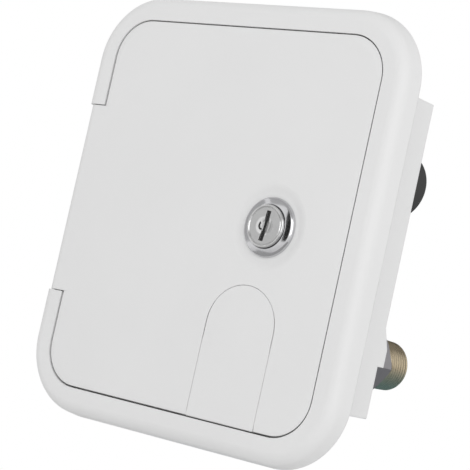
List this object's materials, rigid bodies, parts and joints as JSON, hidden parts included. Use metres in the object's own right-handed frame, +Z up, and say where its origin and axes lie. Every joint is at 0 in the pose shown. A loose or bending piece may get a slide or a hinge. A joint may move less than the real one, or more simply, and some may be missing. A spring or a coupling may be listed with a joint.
{
  "type": "rv water inlet",
  "caption": "Lockable water inlet hatch with a hinged door, hose flap, city water inlet with check valve and capped tank filling neck",
  "frame": {"origin": "centre of the four wall screw holes, on the wall plane behind the flange", "axes": "+X to the right as the hatch is seen from outside, +Y into the wall, +Z up"},
  "size_m": [0.1626, 0.0881, 0.1832],
  "materials": {
    "white_plastic": "injection moulded white ASA, fine satin texture",
    "seal_rubber": "extruded black EPDM",
    "stainless": "drawn stainless rod and screws",
    "lock_chrome": "die-cast zinc, polished and chromed",
    "zinc_steel": "pressed steel, zinc plated",
    "nickel_brass": "turned brass, dull nickel plated",
    "brass": "turned brass, dulled",
    "black_plastic": "injection moulded black polypropylene"
  },
  "bodies": {
    "frame": {"flange": "white_plastic", "box": "white_plastic", "hinge_pin": "stainless", "door_seal": "seal_rubber", "inlet_tube": "brass", "inlet_washer": "seal_rubber", "inlet_locknut": "nickel_brass", "valve_body": "nickel_brass", "outlet_nipple": "brass", "spring_retainer": "black_plastic", "valve_spring": "stainless", "fill_neck": "black_plastic", "neck_gasket": "seal_rubber", "neck_screws": "stainless"},
    "door": {"door_panel": "white_plastic", "lock_housing": "lock_chrome", "lock_washer": "zinc_steel", "lock_nut": "zinc_steel", "flap_pin": "stainless"},
    "lock": {"lock_plug": "lock_chrome", "lock_cam": "zinc_steel", "cam_screw": "zinc_steel"},
    "flap": {"hose_flap": "white_plastic"},
    "cap": {"fill_cap": "black_plastic", "cap_gasket": "seal_rubber"},
    "swivel": {"hose_swivel": "brass", "hose_washer": "seal_rubber", "filter_screen": "stainless"},
    "poppet": {"valve_poppet": "brass", "poppet_seal": "seal_rubber"}
  },
  "joints": [
    {"name": "door_hinge", "type": "hinge", "parent": "frame", "child": "door", "pos_m": [-0.0744, -0.0058, 0], "axis": [0, 0, -1], "range_deg": [0, 120]},
    {"name": "lock_turn", "type": "hinge", "parent": "door", "child": "lock", "pos_m": [0.0318, -0.0098, 0], "axis": [0, 1, 0], "range_deg": [0, 90]},
    {"name": "hose_flap_hinge", "type": "hinge", "parent": "door", "child": "flap", "pos_m": [0.0283, -0.005, -0.04115], "axis": [-1, 0, 0], "range_deg": [0, 70]},
    {"name": "cap_turn", "type": "hinge", "parent": "frame", "child": "cap", "pos_m": [0.03, 0.012, 0.035], "axis": [0, -1, 0], "range_deg": [0, 90]},
    {"name": "swivel_spin", "type": "hinge", "parent": "frame", "child": "swivel", "pos_m": [0.0475, 0.02, -0.0425], "axis": [0, -1, 0], "continuous": true},
    {"name": "check_valve", "type": "slide", "parent": "frame", "child": "poppet", "axis": [0, 1, 0], "range_m": [0, 0.004], "stiffness_N_per_m": 80, "springref_m": -0.002, "deforming": ["valve_spring"]}
  ]
}
